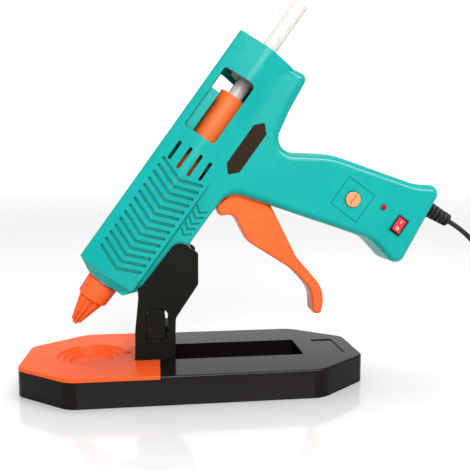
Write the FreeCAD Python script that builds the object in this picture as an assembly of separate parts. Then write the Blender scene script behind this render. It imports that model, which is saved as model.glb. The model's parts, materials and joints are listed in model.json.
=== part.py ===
"""Full-size hot glue gun resting in the bracket of its drip stand.

Millimetres, +Z up.  Origin: centre of the stand's underside.  +X runs from the nozzle end
of the stand to the grip end, and the gun's left half faces -Y.
Gun pieces are drawn along their own axes, u (nozzle to rear), y (across) and v (up), and
then turned into place by the GUN placement.
"""
import FreeCAD, Part
import math
import os

# ---------------------------------------------------------------- driving dimensions
# stand
BASE_LENGTH = 234.0
BASE_WIDTH = 104.0
BASE_HEIGHT = 19.0
END_TAPER = 36.0            # length of each tapered end
END_WIDTH = 47.0            # width of each end edge
CORNER_R = 9.0
SHELL_WALL = 2.4
RIM = 1.6                   # black rim left around the tray
TRAY_EDGE_X = -24.0
TRAY_DEPTH = 6.0
TRAY_TOP = BASE_HEIGHT + 0.3
LIP_Z = 17.0                # underside of the tray's edge, which wraps over the base
DISH_X = -72.0
DISH_R = 23.0
SLOT_X = (-13.5, 76.0)      # storage slot
SLOT_HALF = 18.4
SLOT_FLOOR = 5.0
LABEL_X = (89.5, 106.0)     # shallow blank recess
LABEL_HALF = 17.0
PLATE_T = 2.4
FOOT_R = 6.5
FOOT_POS = (86.0, 33.0)
BASE_SCREW_POS = (99.0, 22.0)

# bracket
CHEEK_OUT = 18.0            # outer half-width of the two cheeks
CHEEK_IN = 15.5
BRACKET_X = (-40.8, -13.5)
BRACKET_WALL = 2.4
SEAM_Z = 38.0               # joint between socket and bracket
LATCH_X = -26.5
LATCH_Z = 48.3
LATCH_R = 6.2
LATCH_FOOT = 5.0            # how far the tabs reach below the joint
LATCH_TRAVEL = 1.2

# gun
NOSE = FreeCAD.Vector(-62.8, 0, 70.4)   # centre of the barrel's front face
TILT = 54.13                # barrel axis above horizontal
BARREL_LENGTH = 193.0
NOSE_U = 2.6                # front face
NOSE_CHAMFER = 9.0          # where the full section starts
WALL = 2.5
TOP_V = 23.0
RIDGE_V = -0.5
CREASE_V = -19.5
TOP_HALF = 14.0
RIDGE_HALF = 23.0
CREASE_HALF = 18.0
KEEL_V = -32.2
KEEL_HALF = 15.0
KEEL_END = 104.0
FLARE_U = (82.0, 104.0)     # where the keel's sides widen to the grip's
GROOVE_DEPTH = 1.0
GRIP_HALF = 18.5
GRIP_ROUND = 6.0
WINDOW_U = (120.0, 167.5)
WINDOW_V = (-6.3, 17.2)
FAR_WINDOW_U = (152.0, 167.5)
FAR_WINDOW_V = (2.0, 17.0)
SCREEN_U = (92.0, 111.0)    # thin wall behind the upper vents
SCREEN_Y = (1.0, 3.0)
SHELF_U = (117.0, 151.0)    # thin wall beside the sleeve, just behind the near window
SHELF_Y = (-14.5, -13.0)
VENT_REACH = 9.0            # the vents stop this far from the middle

# glue path
STICK_R = 5.6
CHAMBER_R = 9.5
SLEEVE_R = 10.4
SLEEVE_U = (71.0, 156.0)
BORE_R = 6.1

# trigger and feed
PIVOT = (27.0, 137.0)       # world x, z
TRIGGER_HALF = 9.0
TRIGGER_SWING = 22.0
ARM_LENGTH = 20.2
PIN_R = 2.0
RUNNING = 0.06              # radial running clearance

# grip fittings, on the left side
DIAL = (109.4, 127.5)
DIAL_R = 5.3
LED = (131.7, 121.9)
LED_R = 1.9
SWITCH_UV = (152.0, -144.3)
SWITCH_SIZE = (13.0, 8.8)
ROCKER_TILT = 8.0

# cord
CORD_D = 3.6
CORD_LENGTH = 1500.0
RELIEF_ROOT = (170.3, 120.9)
RELIEF_ANGLE = -29.5
RELIEF_LENGTH = 22.0
COIL_CENTRE = (262.0, -8.0)
COIL_R = 20.0               # middle of the turns
COIL_LAYERS = (3, 4)        # turns wide, turns high
PLUG_SIZE = (21.0, 24.0, 15.0)

PARTS = {}


# ---------------------------------------------------------------- small helpers
def vec(x, y, z):
    return FreeCAD.Vector(x, y, z)


def rounded_wire(corners, place):
    """Closed wire through (a, b, radius) corners; each corner is rounded by its own arc."""
    count = len(corners)
    starts = []
    ends = []
    mids = []
    for index in range(count):
        a, b, radius = corners[index]
        before = corners[index - 1]
        after = corners[(index + 1) % count]
        here = vec(a, b, 0)
        back = (vec(before[0], before[1], 0) - here).normalize()
        ahead = (vec(after[0], after[1], 0) - here).normalize()
        if radius <= 0:
            starts.append(here)
            ends.append(here)
            mids.append(None)
            continue
        half = math.acos(max(-1.0, min(1.0, back.dot(ahead)))) / 2
        reach = radius / math.tan(half)
        inward = (back + ahead).normalize()
        centre = here + inward * (radius / math.sin(half))
        starts.append(here + back * reach)
        ends.append(here + ahead * reach)
        mids.append(centre - inward * radius)
    edges = []
    for index in range(count):
        if mids[index] is not None:
            arc = (starts[index], mids[index], ends[index])
            edges.append(Part.Arc(*[place(p.x, p.y) for p in arc]).toShape())
        following = starts[(index + 1) % count]
        if ends[index].distanceToPoint(following) > 1e-5:
            line = (place(ends[index].x, ends[index].y), place(following.x, following.y))
            edges.append(Part.LineSegment(*line).toShape())
    return Part.Wire(edges)


def prism(corners, y0, y1):
    """Side outline in (x, z) or (u, v), extruded across from y0 to y1."""
    wire = rounded_wire(corners, lambda a, b: vec(a, y0, b))
    return Part.Face(wire).extrude(vec(0, y1 - y0, 0))


def slab(corners, z0, z1):
    """Plan outline in (x, y), extruded up from z0 to z1."""
    wire = rounded_wire(corners, lambda a, b: vec(a, b, z0))
    return Part.Face(wire).extrude(vec(0, 0, z1 - z0))


def block(x0, x1, y0, y1, z0, z1):
    return Part.makeBox(x1 - x0, y1 - y0, z1 - z0, vec(x0, y0, z0))


def rod(radius, start, end):
    axis = end - start
    return Part.makeCylinder(radius, axis.Length, start, axis)


def cross_rod(radius, x, z, y0, y1):
    """Cylinder across the gun, along Y."""
    return rod(radius, vec(x, y0, z), vec(x, y1, z))


def along(radius, u0, u1, v=0.0):
    """Cylinder along the barrel axis."""
    return rod(radius, vec(u0, 0, v), vec(u1, 0, v))


def revolve_u(profile):
    """Solid of revolution about the barrel axis from (u, r) points."""
    points = [vec(u, 0, r) for u, r in profile]
    face = Part.Face(Part.makePolygon(points + [points[0]]))
    return face.revolve(vec(0, 0, 0), vec(1, 0, 0), 360)


def fuse(shapes):
    shapes = list(shapes)
    if len(shapes) == 1:
        return shapes[0]
    return shapes[0].multiFuse(shapes[1:]).removeSplitter()


def mirror_y(shape):
    return shape.mirror(vec(0, 0, 0), vec(0, 1, 0))


GUN = FreeCAD.Placement(NOSE, FreeCAD.Rotation(vec(0, 1, 0), -TILT))


def in_gun(shape):
    """Turn a shape drawn along u, y, v into its place on the stand."""
    moved = shape.copy()
    moved.Placement = GUN.multiply(moved.Placement)
    return moved


def world(u, v):
    """(x, z) of a point on the gun's middle plane."""
    point = GUN.multVec(vec(u, 0, v))
    return point.x, point.z


def gun_uv(x, z):
    point = GUN.inverse().multVec(vec(x, 0, z))
    return point.x, point.z


def add(name, shape):
    """Keep a node; only its solids are written."""
    solids = shape.Solids
    for solid in solids:
        if not solid.isValid():
            print("INVALID", name)
    PARTS[name] = Part.makeCompound(solids) if len(solids) > 1 else solids[0]


# ---------------------------------------------------------------- stand
def base_outline(inset, low_x=None, high_x=None):
    """Eight-sided plan, moved in by inset; low_x or high_x cuts it square."""
    half_l = BASE_LENGTH / 2 - inset
    half_w = BASE_WIDTH / 2 - inset
    slope = (BASE_WIDTH - END_WIDTH) / 2 / END_TAPER
    turn = math.atan(slope)
    end_half = END_WIDTH / 2 - inset * math.tan(math.pi / 4 - turn / 2)
    shoulder = BASE_LENGTH / 2 - END_TAPER - inset * math.tan(turn / 2)
    radius = max(CORNER_R - inset, 1.0)
    corners = []
    if high_x is None:
        corners += [(shoulder, -half_w, radius * 2), (half_l, -end_half, radius)]
        corners += [(half_l, end_half, radius), (shoulder, half_w, radius * 2)]
    else:
        corners += [(high_x, -half_w, 0), (high_x, half_w, 0)]
    if low_x is None:
        corners += [(-shoulder, half_w, radius * 2), (-half_l, end_half, radius)]
        corners += [(-half_l, -end_half, radius), (-shoulder, -half_w, radius * 2)]
    else:
        corners += [(low_x, half_w, 0), (low_x, -half_w, 0)]
    return corners


def rectangle(x0, x1, half, radius):
    return [(x0, -half, radius), (x1, -half, radius), (x1, half, radius), (x0, half, radius)]


def four(position):
    return [(sx * position[0], sy * position[1]) for sx in (-1, 1) for sy in (-1, 1)]


def bracket_notch(gap):
    return block(BRACKET_X[0] - gap, 0, -CHEEK_OUT - gap, CHEEK_OUT + gap, 0, BASE_HEIGHT + 1)


def make_base():
    body = slab(base_outline(0), 0, BASE_HEIGHT)
    rim_edges = [e for e in body.Edges if abs(e.BoundBox.ZMin - BASE_HEIGHT) < 1e-6]
    body = body.makeFillet(1.2, rim_edges)

    tray_floor = BASE_HEIGHT - TRAY_DEPTH
    tray_pocket = slab(base_outline(RIM, high_x=TRAY_EDGE_X), tray_floor, BASE_HEIGHT + 5)
    lip_seat = slab(base_outline(-2.0, high_x=TRAY_EDGE_X), LIP_Z, BASE_HEIGHT + 5)
    body = body.cut(tray_pocket.fuse(lip_seat).cut(bracket_notch(0.0)))
    label = slab(rectangle(LABEL_X[0], LABEL_X[1], LABEL_HALF, 1.0), BASE_HEIGHT - 0.7, 30)
    body = body.cut(label)

    roof = BASE_HEIGHT - SHELL_WALL
    hollow = slab(base_outline(SHELL_WALL), -1, roof)
    under_tray = slab(base_outline(0, high_x=TRAY_EDGE_X + SHELL_WALL),
                      tray_floor - SHELL_WALL, BASE_HEIGHT)
    tub = slab(rectangle(SLOT_X[0] - SHELL_WALL, SLOT_X[1] + SHELL_WALL,
                         SLOT_HALF + SHELL_WALL, 3.0), PLATE_T + 0.2, BASE_HEIGHT)
    hollow = hollow.cut(under_tray).cut(tub)
    for x, y in four(BASE_SCREW_POS):
        hollow = hollow.cut(rod(4.0, vec(x, y, PLATE_T), vec(x, y, 18)))
    body = body.cut(hollow)
    body = body.cut(slab(rectangle(SLOT_X[0], SLOT_X[1], SLOT_HALF, 1.5), SLOT_FLOOR, 30))
    for x, y in four(BASE_SCREW_POS):
        body = body.cut(rod(1.3, vec(x, y, PLATE_T - 0.5), vec(x, y, 10.4)))
    # socket seat: a square well under the bracket
    well = block(BRACKET_X[0] + 1.0, SLOT_X[0] - SHELL_WALL - 0.5, -16.0, 16.0, PLATE_T, 30)
    seat_wall = block(BRACKET_X[0] - 1.4, SLOT_X[0] - SHELL_WALL, -18.4, 18.4, PLATE_T + 0.2,
                      tray_floor)
    body = body.fuse(seat_wall).cut(well).removeSplitter()
    add("base_shell", body)


def dish_cutter():
    """Stepped round dish with soft edges."""
    cones = []
    for step, depth in ((0.0, 1.6), (3.4, 3.2), (6.8, 4.8)):
        low = vec(DISH_X, 0, TRAY_TOP - depth)
        cones.append(Part.makeCone(DISH_R - step - depth * 0.4, DISH_R - step + 0.6, depth + 0.6,
                                   low, vec(0, 0, 1)))
    dish = fuse(cones)
    rounds = [e for e in dish.Edges
              if e.Curve.TypeId == "Part::GeomCircle" and e.BoundBox.ZMin < TRAY_TOP]
    try:
        return dish.makeFillet(0.7, rounds)
    except Exception:
        print("dish left sharp")
        return dish


def make_tray():
    gap = 0.15
    floor = BASE_HEIGHT - TRAY_DEPTH
    edge_x = TRAY_EDGE_X - gap
    tray = slab(base_outline(RIM + gap, high_x=edge_x), floor, TRAY_TOP)
    tray = tray.fuse(slab(base_outline(0.05, high_x=edge_x), LIP_Z + 0.1, TRAY_TOP))
    tray = tray.cut(bracket_notch(gap)).removeSplitter()
    rim = [e for e in tray.Edges
           if abs(e.BoundBox.ZMin - TRAY_TOP) < 1e-6 and e.BoundBox.XMax < BRACKET_X[0]]
    try:
        tray = tray.makeFillet(0.7, rim)
    except Exception:
        print("tray rim left sharp")
    tray = tray.cut(dish_cutter())
    channel = slab([(DISH_X + 12, -6, 1), (DISH_X + 27.5, -3.5, 3), (DISH_X + 27.5, 3.5, 3),
                    (DISH_X + 12, 6, 1)], BASE_HEIGHT - 0.9, 30)
    add("drip_tray", tray.cut(channel).removeSplitter())


def make_underside():
    plate = slab(base_outline(SHELL_WALL + 0.2), 0, PLATE_T)
    feet = []
    screws = []
    for x, y in four(FOOT_POS):
        plate = plate.cut(rod(FOOT_R + 0.1, vec(x, y, -1), vec(x, y, 1.2)))
        feet.append(rod(FOOT_R, vec(x, y, 0), vec(x, y, 1.2)))
    for x, y in four(BASE_SCREW_POS):
        plate = plate.cut(rod(3.0, vec(x, y, -1), vec(x, y, 1.6)))
        plate = plate.cut(rod(1.5, vec(x, y, -1), vec(x, y, 5)))
        head = rod(2.8, vec(x, y, 0.3), vec(x, y, 1.6))
        head = head.cut(block(x - 2, x + 2, y - 0.4, y + 0.4, 0, 0.9))
        head = head.cut(block(x - 0.4, x + 0.4, y - 2, y + 2, 0, 0.9))
        screws.append(head.fuse(rod(1.2, vec(x, y, 1.6), vec(x, y, 9.5))))
    add("bottom_plate", plate)
    add("rubber_feet", Part.makeCompound(feet))
    add("base_screws", Part.makeCompound(screws))


# ---------------------------------------------------------------- bracket
def latch_outline(grow, foot, extra_right=0.0):
    """Round-topped tab outline in (x, z), grown by grow, with its foot at the given height."""
    half = LATCH_R + grow
    top = LATCH_Z + half
    right = LATCH_X + half + extra_right
    left = LATCH_X - half
    round_r = half - 0.05
    return [(left, foot, 0), (right, foot, 0), (right, top, round_r), (left, top, round_r)]


def make_socket():
    x0, x1 = BRACKET_X
    upper = block(x0, x1, -CHEEK_OUT, CHEEK_OUT, BASE_HEIGHT, SEAM_Z)
    lower = block(x0 + 1.2, SLOT_X[0] - SHELL_WALL - 0.7, -15.8, 15.8, PLATE_T, BASE_HEIGHT)
    socket = upper.fuse(lower)
    socket = socket.cut(block(x0 + 3.6, x1 - 5.2, -11.6, 11.6, PLATE_T + 2.5, SEAM_Z + 1))
    for side in (-1, 1):
        pocket = prism(latch_outline(0.5, SEAM_Z - LATCH_FOOT - 0.3), -CHEEK_OUT - 1,
                       -CHEEK_OUT + 4.2)
        if side > 0:
            pocket = mirror_y(pocket)
        socket = socket.cut(pocket)
    add("bracket_socket", socket.removeSplitter())
    tab = prism(latch_outline(0.0, SEAM_Z - LATCH_FOOT), -CHEEK_OUT, -CHEEK_OUT + 2.2)
    button = cross_rod(LATCH_R - 1.6, LATCH_X, LATCH_Z, -CHEEK_OUT - 0.7, -CHEEK_OUT)
    tab = tab.fuse(button).removeSplitter()
    add("latch_left", tab)
    add("latch_right", mirror_y(tab))


def make_bracket():
    front, back = BRACKET_X
    foot = SEAM_Z + 0.3
    cheek_corners = [
        (back, foot, 0),
        (back + 0.3, 47.5, 6),
        (2.2, 70.5, 3),
        (2.3, 91.8, 2.5),
        (-11.3, 100.9, 7.5),
        (-36.2, 69.2, 2.0),
        (-38.6, 68.7, 0.5),
        (-38.3, 61.5, 4.0),
        (front, foot, 0),
    ]
    cheek = prism(cheek_corners, -CHEEK_OUT, -CHEEK_IN)
    window = prism(latch_outline(0.3, SEAM_Z - 1, 1.7), -CHEEK_OUT - 1, -CHEEK_IN + 1)
    cheek = cheek.cut(window)
    inside = prism(cheek_corners, -CHEEK_IN, CHEEK_IN)

    # the keel lies on the trough and its sloping front end on the saddle
    floor_v = KEEL_V - 0.3
    trough = in_gun(block(20, 70, -CHEEK_IN, CHEEK_IN, floor_v - BRACKET_WALL, floor_v))
    saddle_top = keel_nose(-0.6)
    saddle = in_gun(saddle_top.cut(keel_nose(-0.6 - 1.5 * BRACKET_WALL)))
    front_wall = block(front, -38.3 + BRACKET_WALL, -CHEEK_IN, CHEEK_IN, foot, 72)
    front_wall = front_wall.common(in_gun(saddle_top))
    rear_rib = prism([(back - BRACKET_WALL, foot, 0), (back, foot, 0), (back + 0.2, 48.5, 0),
                      (-4.0, 62.5, 0), (-6.4, 62.5, 0)], -CHEEK_IN, CHEEK_IN)
    walls = fuse([trough, saddle, front_wall, rear_rib]).common(inside)
    deck = block(front + 0.1, back, -12.4, 12.4, foot, foot + 2.2)
    tongue = block(front + 3.9, back - 5.5, -11.3, 11.3, 12.0, foot + 0.1)
    bracket = fuse([cheek, mirror_y(cheek), walls, deck, tongue])
    room = prism(latch_outline(0.8, SEAM_Z - 1), -CHEEK_IN - 0.1, -CHEEK_IN + LATCH_TRAVEL + 0.4)
    bracket = bracket.cut(room).cut(mirror_y(room))
    print("bracket solids", len(bracket.Solids))
    add("support_bracket", bracket)


# ---------------------------------------------------------------- housing
def section_wire(u, top, ridge, crease):
    """Six-sided section at u from its three right-hand corners, each (half-width, v, radius)."""
    corners = [top, ridge, crease]
    ring = corners + [(-y, v, r) for y, v, r in reversed(corners)]
    return rounded_wire(ring, lambda a, b: vec(u, a, b))


def barrel_section(inset, u):
    """Full barrel section at u, moved in by inset."""
    return section_wire(u, (TOP_HALF - inset * 0.75, TOP_V - inset, 3.0),
                        (RIDGE_HALF - inset * 1.04, RIDGE_V, 11.0),
                        (CREASE_HALF - inset * 0.85, CREASE_V + inset, 1.5))


def barrel_prism(inset, u0, u1):
    return Part.Face(barrel_section(inset, u0)).extrude(vec(u1 - u0, 0, 0))


def keel_solid(inset, u0, u1):
    half = KEEL_HALF - inset
    bottom = KEEL_V + inset
    radius = max(2.0 - inset * 0.5, 0.5)
    ring = [(-half, bottom, radius), (half, bottom, radius), (half, -8, 0), (-half, -8, 0)]
    wire = rounded_wire(ring, lambda a, b: vec(u0, a, b))
    return Part.Face(wire).extrude(vec(u1 - u0, 0, 0))


def grip_outline():
    """Rear of the barrel below the crease, then the grip, in world (x, z)."""
    hidden_v = CREASE_V + 5
    u_front = FLARE_U[0] - 2
    u_rear = BARREL_LENGTH
    return [
        (*world(u_front, hidden_v), 0),
        (*world(u_rear, hidden_v), 0),
        (*world(u_rear + 3.2, -31.9), 4.5),
        (*world(170, -34.9), 60),
        (52.6, 160.0, 10),
        (94, 158.7, 60),
        (157, 137.4, 45),
        (177.6, 137.2, 6.5),
        (144.9, 77.9, 6.6),
        (124.8, 99.1, 22),
        (24.0, 133.5, 14),
        (*world(u_front, KEEL_V), 0),
    ]


def side_loops(solid, outline_skip):
    """Edges of the two flat sides, except those that lie inside the barrel."""
    picked = []
    for edge in solid.Edges:
        box = edge.BoundBox
        if box.YLength > 1e-4:
            continue
        middle = edge.valueAt((edge.FirstParameter + edge.LastParameter) / 2)
        if outline_skip(*gun_uv(middle.x, middle.z)):
            continue
        picked.append(edge)
    return picked


def grip_solid():
    grip = prism(grip_outline(), -GRIP_HALF, GRIP_HALF)
    hidden_v = CREASE_V + 5
    u_front = FLARE_U[0] - 2

    def hidden(u, v):
        on_top = abs(v - hidden_v) < 0.01
        on_front = abs(u - u_front) < 0.01
        on_rear = u > BARREL_LENGTH - 0.1 and v > -27
        return on_top or on_front or on_rear

    edges = side_loops(grip, hidden)
    try:
        grip = grip.makeFillet(GRIP_ROUND, edges)
    except Exception:
        print("grip rounding fell back")
        grip = grip.makeChamfer(GRIP_ROUND * 0.5, edges)
    return grip.cut(flare(0.0))


def flare(inset):
    """What is cut off both sides of the grip where it narrows to the keel, moved in by inset."""
    side = slab([(60, KEEL_HALF - inset, 0), (FLARE_U[0], KEEL_HALF - inset, 0),
                 (FLARE_U[1], GRIP_HALF - inset + 0.01, 0), (FLARE_U[1], 40, 0), (60, 40, 0)],
                -60, -8)
    return in_gun(fuse([side, mirror_y(side)]))


def grip_hollow():
    wire = rounded_wire(grip_outline(), lambda a, b: vec(a, -GRIP_HALF + WALL, b))
    inner = Part.Face(wire).makeOffset2D(-WALL, 2)
    hollow = inner.extrude(vec(0, 2 * (GRIP_HALF - WALL), 0))
    edges = [e for e in hollow.Edges if e.BoundBox.YLength < 1e-4]
    try:
        hollow = hollow.makeFillet(GRIP_ROUND - WALL, edges)
    except Exception:
        print("hollow rounding fell back")
        hollow = hollow.makeChamfer(GRIP_ROUND * 0.5 - 0.8, edges)
    return hollow.cut(flare(WALL))


def barrel_solid():
    front = section_wire(NOSE_U, (9.0, 12.8, 2.0), (17.0, RIDGE_V, 7.0), (13.5, -15.4, 1.5))
    nose = Part.makeLoft([front, barrel_section(0.0, NOSE_CHAMFER)], True, True)
    return nose.fuse(barrel_prism(0.0, NOSE_CHAMFER, BARREL_LENGTH))


def chevron_prisms():
    """Fourteen angled bars, apex towards the nose, drawn straight across the gun."""
    lean = math.tan(math.radians(21))
    apex_v = -1.0
    half = 1.0
    bars = []
    for index in range(14):
        apex_u = 17.0 + 5.45 * index
        for end_v in (15.2, -15.8):
            end_u = apex_u + abs(end_v - apex_v) * lean
            bars.append(slot_prism((apex_u, apex_v), (end_u, end_v), half))
    return bars


def slot_prism(start, end, half):
    """Round-ended bar from start to end in (u, v), across the whole gun."""
    a = vec(start[0], -40, start[1])
    b = vec(end[0], -40, end[1])
    run = (b - a).normalize()
    side = vec(-run.z, 0, run.x) * half
    edges = [
        Part.LineSegment(a + side, b + side).toShape(),
        Part.Arc(b + side, b + run * half, b - side).toShape(),
        Part.LineSegment(b - side, a - side).toShape(),
        Part.Arc(a - side, a - run * half, a + side).toShape(),
    ]
    return Part.Face(Part.Wire(edges)).extrude(vec(0, 80, 0))


def small_chevrons():
    bars = []
    for index in range(5):
        u = 59.5 + 4.6 * index
        bars.append(slot_prism((u, -25.3), (u + 3.0, -21.6), 0.7))
        bars.append(slot_prism((u, -25.3), (u + 3.2, -29.0), 0.7))
    return bars


def vent_slots():
    rows = ((12.5, 96.6, 108.4), (4.3, 94.6, 109.0), (-4.0, 94.6, 109.0), (-12.0, 96.8, 108.6))
    return [slot_prism((u0, v), (u1, v), 1.2) for v, u0, u1 in rows]


def plate_outline(grow):
    return [(110 - grow, -25.6, 1.0), (116 - grow * 0.3, -20.6 + grow, 1.0),
            (147 + grow * 0.3, -20.6 + grow, 1.0), (152.4 + grow, -25.6, 1.0),
            (147 + grow * 0.3, -31 - grow, 1.0), (116 - grow * 0.3, -31 - grow, 1.0)]


HOUSING_SCREWS = (           # (x, z, outer half-width there)
    (*world(27, -26.2), KEEL_HALF),
    (*world(80, -26.2), KEEL_HALF),
    (*world(184, -24.5), GRIP_HALF),
    (78.0, 147.0, GRIP_HALF),
    (121.0, 142.0, GRIP_HALF),
    (146.5, 93.5, GRIP_HALF),
)


def keel_nose(back):
    """Wedge that slopes the keel's front end, moved back by the given distance."""
    return prism([(-5, -12.3, 0), (3.0 + back, -15.8, 0), (24.1 + back, -34.0, 0),
                  (24.1 + back, -45, 0), (-5, -45, 0)], -30, 30)


def make_housing():
    keel = keel_solid(0.0, NOSE_U, KEEL_END).cut(keel_nose(0.0))
    barrel = in_gun(fuse([barrel_solid(), keel]))
    grip = grip_solid()
    outer = barrel.fuse(grip).removeSplitter()

    inner_barrel = fuse([barrel_prism(WALL, NOSE_CHAMFER, BARREL_LENGTH - WALL),
                         keel_solid(WALL, NOSE_CHAMFER, KEEL_END).cut(keel_nose(WALL + 1.5)),
                         along(12.0, NOSE_U + 2.4, NOSE_CHAMFER)])
    hollow = in_gun(inner_barrel).fuse(grip_hollow())

    # bosses for the screws and the trigger pin stay solid
    px, pz = PIVOT
    keep = [cross_rod(4.2, x, z, -25, 25) for x, z, half in HOUSING_SCREWS]
    keep.append(cross_rod(5.2, px, pz, -25, -TRIGGER_HALF - 0.7))
    keep.append(cross_rod(5.2, px, pz, TRIGGER_HALF + 0.7, 25))
    # ribs that carry the chamber, the sleeve and the far window's frame
    ribs = []
    for u in (12.0, 62.0, 112.0):
        rib = block(u, u + 2.2, -24, 24, -18, 22)
        passage = block(u - 1, u + 4, -8.6, 8.6, -30, 0)
        ribs.append(in_gun(rib.cut(along(13.0, u - 1, u + 4)).cut(passage)))
    ribs.append(in_gun(block(*SCREEN_U, *SCREEN_Y, SLEEVE_R + 0.5, TOP_V - 1)))
    hollow = hollow.cut(Part.makeCompound(keep)).cut(Part.makeCompound(ribs))
    shell = outer.cut(hollow)

    # grooves follow the sloping sides at one depth
    grooves = fuse(chevron_prisms()).cut(barrel_prism(GROOVE_DEPTH, 0, 120))
    shell = shell.cut(in_gun(grooves))
    keel_core = block(0, 200, -KEEL_HALF + 0.8, KEEL_HALF - 0.8, -40, 0)
    shell = shell.cut(in_gun(fuse(small_chevrons()).cut(keel_core)))
    middle = block(0, BARREL_LENGTH, -VENT_REACH, VENT_REACH, -40, 40)
    shell = shell.cut(in_gun(fuse(vent_slots()).cut(middle)))

    # windows beside the sleeve
    near = [(WINDOW_U[0], WINDOW_V[0], 3.0), (WINDOW_U[1], WINDOW_V[0], 3.0),
            (WINDOW_U[1], WINDOW_V[1], 2.0), (WINDOW_U[0], WINDOW_V[1], 1.5)]
    shell = shell.cut(in_gun(prism(near, -40, -9)))
    shell = shell.fuse(in_gun(block(*SHELF_U, *SHELF_Y, SLEEVE_R - 0.1, TOP_V - WALL)))
    far = [(FAR_WINDOW_U[0], FAR_WINDOW_V[0], 1.0), (FAR_WINDOW_U[1], FAR_WINDOW_V[0], 1.0),
           (FAR_WINDOW_U[1], FAR_WINDOW_V[1], 1.0), (FAR_WINDOW_U[0], FAR_WINDOW_V[1], 1.0)]
    shell = shell.cut(in_gun(prism(far, 8, 40)))

    # nozzle hole, stick hole, trigger mouth
    shell = shell.cut(in_gun(along(11.0, NOSE_U - 2, NOSE_U + 4)))
    shell = shell.cut(in_gun(along(8.2, BARREL_LENGTH - 6, BARREL_LENGTH + 3)))
    mouth = prism([(11, 116, 0), (30, 100, 0), (90, 96, 0), (90, 115.5, 0), (60, 128, 0),
                   (44, 139, 0), (24, 146, 0), (17, 138, 0), (20.5, 131, 0)],
                  -TRIGGER_HALF - 0.7, TRIGGER_HALF + 0.7)
    shell = shell.cut(mouth)
    shell = shell.cut(cross_rod(PIN_R + 0.02, px, pz, -15.2, 15.2))

    # fittings on the left side of the grip
    shell = shell.cut(cross_rod(DIAL_R + 0.3, *DIAL, -30, -10))
    shell = shell.cut(cross_rod(LED_R + 0.1, *LED, -30, -10))
    su, sv = SWITCH_UV
    sl, sw = SWITCH_SIZE
    shell = shell.cut(in_gun(block(su - sl / 2 + 0.4, su + sl / 2 - 0.4, -30, -10,
                                   sv - sw / 2 + 0.4, sv + sw / 2 - 0.4)))
    du, dv = gun_uv(*DIAL)
    frame = block(du - 11.5, du + 11.5, -GRIP_HALF - 1, -GRIP_HALF + 0.35, dv - 11.5, dv + 11.5)
    frame = frame.cut(block(du - 11.1, du + 11.1, -30, 0, dv - 11.1, dv + 11.1))
    shell = shell.cut(in_gun(frame))
    for side in (-1, 1):
        recess = prism(plate_outline(0.12), -GRIP_HALF - 2, -GRIP_HALF + 1.0)
        plate = prism(plate_outline(0.0), -GRIP_HALF - 0.15, -GRIP_HALF + 1.0)
        if side > 0:
            recess = mirror_y(recess)
            plate = mirror_y(plate)
        shell = shell.cut(in_gun(recess))
        add("side_plate_left" if side < 0 else "side_plate_right", in_gun(plate))

    # strain relief seat in the butt
    root = vec(RELIEF_ROOT[0], 0, RELIEF_ROOT[1])
    shell = shell.cut(rod(4.6, root - relief_direction() * 6, root + relief_direction() * 8))

    # screw holes, driven from the right
    screws = []
    for x, z, half in HOUSING_SCREWS:
        shell = shell.cut(cross_rod(3.3, x, z, half - 4.0, 40))
        shell = shell.cut(cross_rod(1.75, x, z, 0, 40))
        shell = shell.cut(cross_rod(1.55, x, z, -half + 4.0, 0.1))
        head = cross_rod(3.0, x, z, half - 3.95, half - 1.8)
        head = head.cut(block(x - 2, x + 2, half - 2.9, 40, z - 0.45, z + 0.45))
        head = head.cut(block(x - 0.45, x + 0.45, half - 2.9, 40, z - 2, z + 2))
        screws.append(head.fuse(cross_rod(1.5, x, z, -half + 4.6, half - 3.95)))
    add("housing_screws", Part.makeCompound(screws))
    add("left_housing", largest(shell.common(block(-200, 300, -60, 0, -50, 400))))
    add("right_housing", largest(shell.common(block(-200, 300, 0, 60, -50, 400))))


def largest(shape):
    return max(shape.Solids, key=lambda s: s.Volume)


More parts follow.
